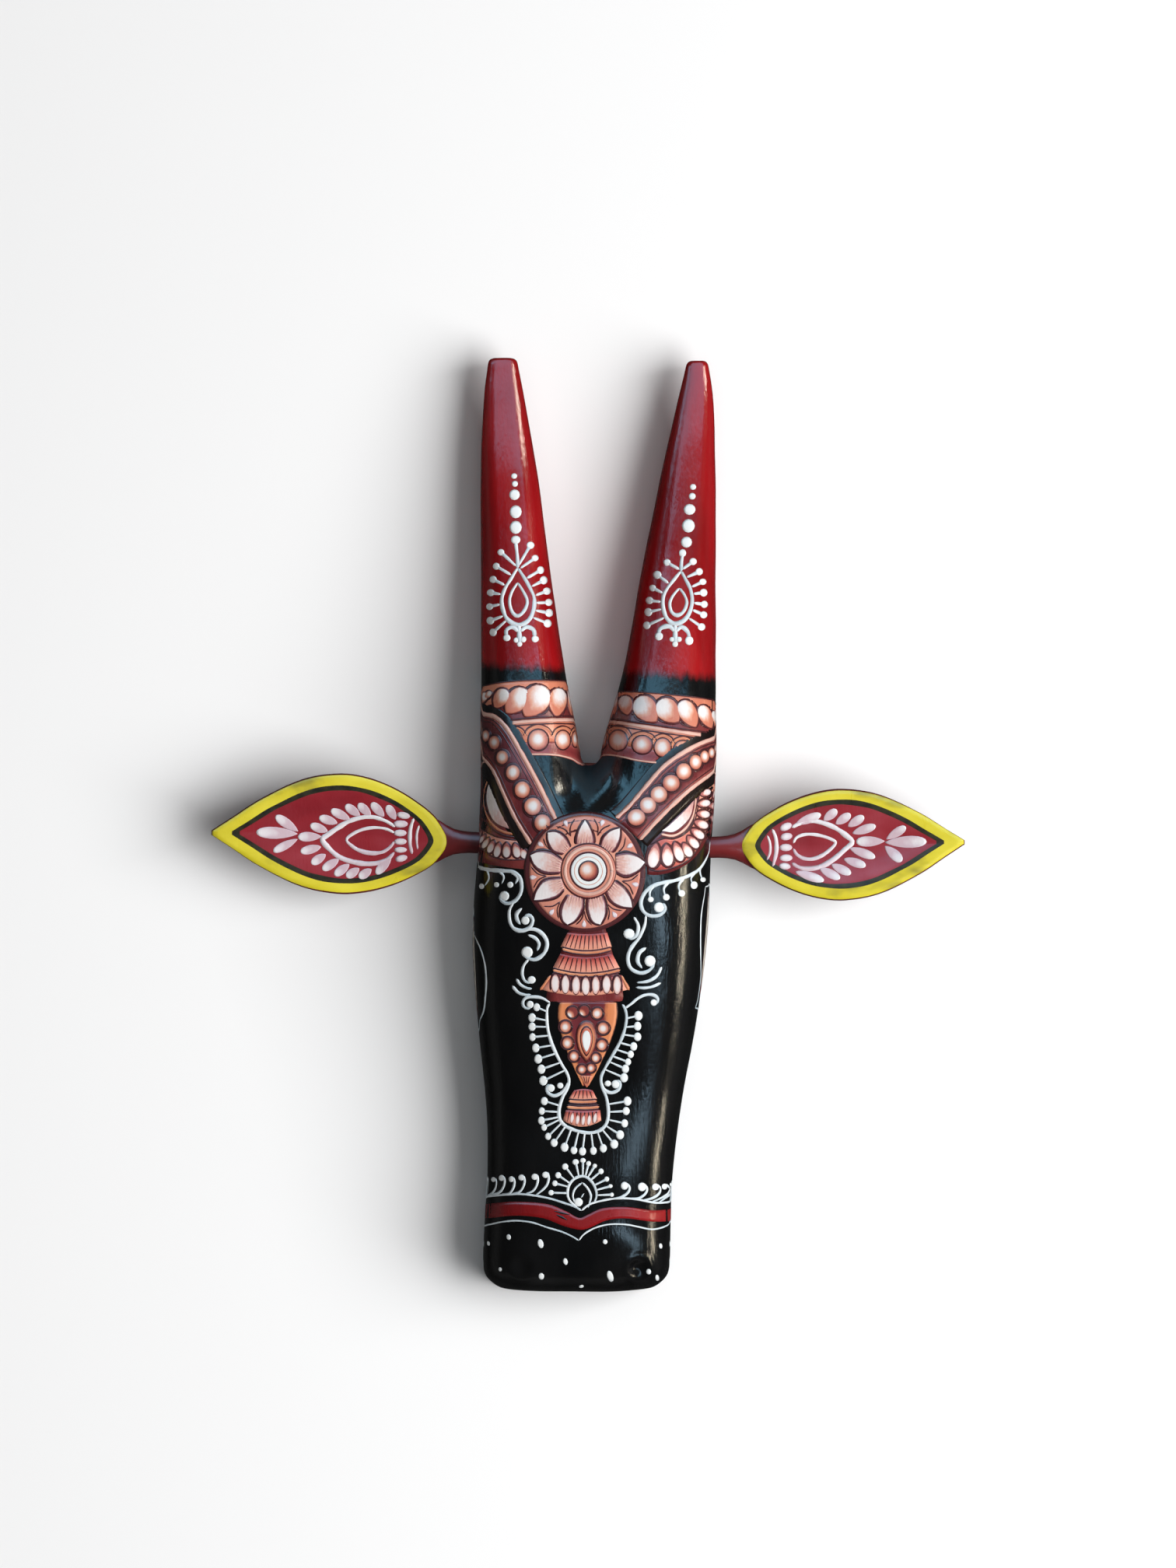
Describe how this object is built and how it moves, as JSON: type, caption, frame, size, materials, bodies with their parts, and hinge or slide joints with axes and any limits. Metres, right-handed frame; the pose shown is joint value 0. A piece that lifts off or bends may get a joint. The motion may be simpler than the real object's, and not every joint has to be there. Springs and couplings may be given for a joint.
{
  "type": "painted wooden cow mask",
  "caption": "Long cow's face with tapering horns and leaf-shaped ears, carved in wood with a flat back and painted with traditional ornament.",
  "frame": {"origin": "centre of the bounding box at the flat back that the mask lies on", "axes": "+Z out of the face, +Y up the face from the muzzle to the horn tips, +X to the right of someone who looks at the face"},
  "size_m": [0.2906, 0.3612, 0.0592],
  "materials": {
    "painted_head": "carved wood under glossy black paint, with deep red horns, salmon and white ornament and a clear varnish",
    "painted_ear": "carved wood under glossy dark red paint with a yellow border, white ornament and a clear varnish"
  },
  "bodies": {
    "root": {"head": "painted_head", "ear_left": "painted_ear", "ear_right": "painted_ear"}
  },
  "joints": []
}
